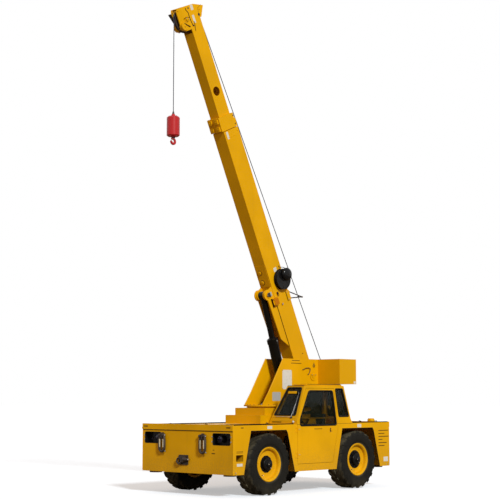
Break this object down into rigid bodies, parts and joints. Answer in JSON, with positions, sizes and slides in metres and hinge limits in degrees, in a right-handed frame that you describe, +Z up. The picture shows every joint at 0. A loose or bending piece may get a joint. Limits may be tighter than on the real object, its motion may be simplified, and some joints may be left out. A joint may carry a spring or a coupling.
{
  "type": "mobile crane",
  "caption": "Pick and carry mobile crane: flat deck, side cab, slewing turret, luffing telescopic boom, hook on a hoist rope, slanted outriggers and steered wheels.",
  "frame": {"origin": "on the ground, under the middle of the overall length and width with the boom as pictured", "axes": "+X forward, +Y to the operator's left, the cab's side, +Z up"},
  "size_m": [5.1906, 2.4806, 9.4686],
  "materials": {
    "machine_paint": "gloss",
    "black_paint": "satin",
    "dark_steel": "satin",
    "chrome_rod": "polished",
    "red_paint": "gloss",
    "tyre_rubber": "matte",
    "cab_glass": "polished",
    "seat_vinyl": "matte",
    "black_plastic": "matte",
    "engine_grey": "matte",
    "wire_rope": "satin"
  },
  "bodies": {
    "chassis": {"main_frame": "machine_paint", "front_bumper": "machine_paint", "rear_bumper": "machine_paint", "side_panels": "machine_paint", "deck_plate": "machine_paint", "pedestal": "machine_paint", "front_axle": "black_paint", "rear_axle": "black_paint", "cab_shell": "machine_paint", "cab_glass": "cab_glass", "seat_frame": "black_plastic", "seat_cushions": "seat_vinyl", "steering_wheel": "black_plastic", "side_tank": "machine_paint", "engine_hood": "machine_paint", "engine": "engine_grey", "tow_fittings": "dark_steel", "lamps": "black_paint"},
    "door": {"cab_door": "machine_paint", "door_glass": "cab_glass"},
    "turret": {"turret_frame": "machine_paint", "counterweight": "machine_paint"},
    "winch": {"winch_drum": "dark_steel"},
    "boom": {"boom_base": "machine_paint"},
    "reel": {"reel_drum": "black_paint"},
    "mid_section": {"boom_mid": "machine_paint"},
    "tip_section": {"boom_tip": "machine_paint"},
    "sheave": {"head_sheave": "dark_steel"},
    "fall": {"rope_fall": "wire_rope"},
    "weight": {"hook_weight": "red_paint"},
    "hook": {"hook": "red_paint"},
    "barrel": {"lift_barrel": "black_paint"},
    "rod": {"lift_rod": "chrome_rod"},
    "knuckle_front_left": {"knuckle_front_left": "black_paint"},
    "wheel_front_left": {"tyre_front_left": "tyre_rubber", "rim_front_left": "machine_paint"},
    "leg_front_left": {"outrigger_front_left": "machine_paint"},
    "knuckle_front_right": {"knuckle_front_right": "black_paint"},
    "wheel_front_right": {"tyre_front_right": "tyre_rubber", "rim_front_right": "machine_paint"},
    "leg_front_right": {"outrigger_front_right": "machine_paint"},
    "knuckle_rear_left": {"knuckle_rear_left": "black_paint"},
    "wheel_rear_left": {"tyre_rear_left": "tyre_rubber", "rim_rear_left": "machine_paint"},
    "leg_rear_left": {"outrigger_rear_left": "machine_paint"},
    "knuckle_rear_right": {"knuckle_rear_right": "black_paint"},
    "wheel_rear_right": {"tyre_rear_right": "tyre_rubber", "rim_rear_right": "machine_paint"},
    "leg_rear_right": {"outrigger_rear_right": "machine_paint"}
  },
  "joints": [
    {"name": "slew", "type": "hinge", "parent": "chassis", "child": "turret", "pos_m": [-0.17633, 0, 1.638], "axis": [0, 0, -1], "continuous": true},
    {"name": "boom_lift", "type": "hinge", "parent": "turret", "child": "boom", "pos_m": [-1.29633, 0, 2.26], "axis": [0, -1, 0], "range_deg": [-65, 5]},
    {"name": "lift_barrel_swing", "type": "hinge", "parent": "turret", "child": "barrel", "pos_m": [-0.69633, 0, 1.82], "axis": [0, -1, 0], "range_deg": [-72.15, 5.55]},
    {"name": "lift_rod_stroke", "type": "slide", "parent": "barrel", "child": "rod", "axis": [0.3009, 0, 0.9537], "range_m": [-0.7662, 0.0591]},
    {"name": "boom_run_out", "type": "slide", "parent": "boom", "child": "mid_section", "axis": [0.4226, 0, 0.9063], "range_m": [0, 3.3]},
    {"name": "tip_run_out", "type": "slide", "parent": "mid_section", "child": "tip_section", "axis": [0.4226, 0, 0.9063], "range_m": [-1.45, 2.2]},
    {"name": "fall_hangs", "type": "hinge", "parent": "tip_section", "child": "fall", "pos_m": [2.23643, 0, 9.07886], "axis": [0, -1, 0], "range_deg": [-5, 65]},
    {"name": "hoist", "type": "slide", "parent": "fall", "child": "weight", "axis": [0, 0, -1], "range_m": [-1.35, 6.2], "deforming": ["rope_fall"]},
    {"name": "hook_swivel", "type": "hinge", "parent": "weight", "child": "hook", "pos_m": [2.47033, 0, 6.76], "axis": [0, 0, 1], "continuous": true},
    {"name": "winch_turns", "type": "hinge", "parent": "turret", "child": "winch", "pos_m": [-1.79633, 0, 2.365], "axis": [0, 1, 0], "continuous": true},
    {"name": "head_sheave_turns", "type": "hinge", "parent": "tip_section", "child": "sheave", "pos_m": [2.23643, 0, 9.07886], "axis": [0, 1, 0], "continuous": true},
    {"name": "reel_turns", "type": "hinge", "parent": "boom", "child": "reel", "pos_m": [-0.40794, 0.2, 4.21248], "axis": [0, 1, 0], "continuous": true},
    {"name": "door_opens", "type": "hinge", "parent": "chassis", "child": "door", "pos_m": [0.30967, 1.2303, 1], "axis": [0, 0, -1], "range_deg": [0, 80]},
    {"name": "steer_front_left", "type": "hinge", "parent": "chassis", "child": "knuckle_front_left", "pos_m": [1.04767, 0.84, 0.575], "axis": [0, 0, 1], "range_deg": [-28, 28]},
    {"name": "roll_front_left", "type": "hinge", "parent": "knuckle_front_left", "child": "wheel_front_left", "pos_m": [1.04767, 0.99, 0.575], "axis": [0, 1, 0], "continuous": true},
    {"name": "outrigger_front_left", "type": "slide", "parent": "chassis", "child": "leg_front_left", "axis": [0, 0.866, -0.5], "range_m": [0, 0.765]},
    {"name": "steer_front_right", "type": "hinge", "parent": "chassis", "child": "knuckle_front_right", "pos_m": [1.04767, -0.84, 0.575], "axis": [0, 0, 1], "range_deg": [-28, 28]},
    {"name": "roll_front_right", "type": "hinge", "parent": "knuckle_front_right", "child": "wheel_front_right", "pos_m": [1.04767, -0.99, 0.575], "axis": [0, 1, 0], "continuous": true},
    {"name": "outrigger_front_right", "type": "slide", "parent": "chassis", "child": "leg_front_right", "axis": [0, -0.866, -0.5], "range_m": [0, 0.765]},
    {"name": "steer_rear_left", "type": "hinge", "parent": "chassis", "child": "knuckle_rear_left", "pos_m": [-1.60033, 0.84, 0.575], "axis": [0, 0, 1], "range_deg": [-28, 28]},
    {"name": "roll_rear_left", "type": "hinge", "parent": "knuckle_rear_left", "child": "wheel_rear_left", "pos_m": [-1.60033, 0.99, 0.575], "axis": [0, 1, 0], "continuous": true},
    {"name": "outrigger_rear_left", "type": "slide", "parent": "chassis", "child": "leg_rear_left", "axis": [0, 0.866, -0.5], "range_m": [0, 0.765]},
    {"name": "steer_rear_right", "type": "hinge", "parent": "chassis", "child": "knuckle_rear_right", "pos_m": [-1.60033, -0.84, 0.575], "axis": [0, 0, 1], "range_deg": [-28, 28]},
    {"name": "roll_rear_right", "type": "hinge", "parent": "knuckle_rear_right", "child": "wheel_rear_right", "pos_m": [-1.60033, -0.99, 0.575], "axis": [0, 1, 0], "continuous": true},
    {"name": "outrigger_rear_right", "type": "slide", "parent": "chassis", "child": "leg_rear_right", "axis": [0, -0.866, -0.5], "range_m": [0, 0.765]}
  ],
  "couplings": [
    {"joint": "lift_barrel_swing", "follows": "boom_lift", "ratio": 1.11},
    {"joint": "lift_rod_stroke", "follows": "boom_lift", "m_per_rad": 0.675},
    {"joint": "fall_hangs", "follows": "boom_lift", "ratio": -1},
    {"joint": "steer_front_right", "follows": "steer_front_left", "ratio": 1},
    {"joint": "steer_rear_right", "follows": "steer_rear_left", "ratio": 1}
  ]
}
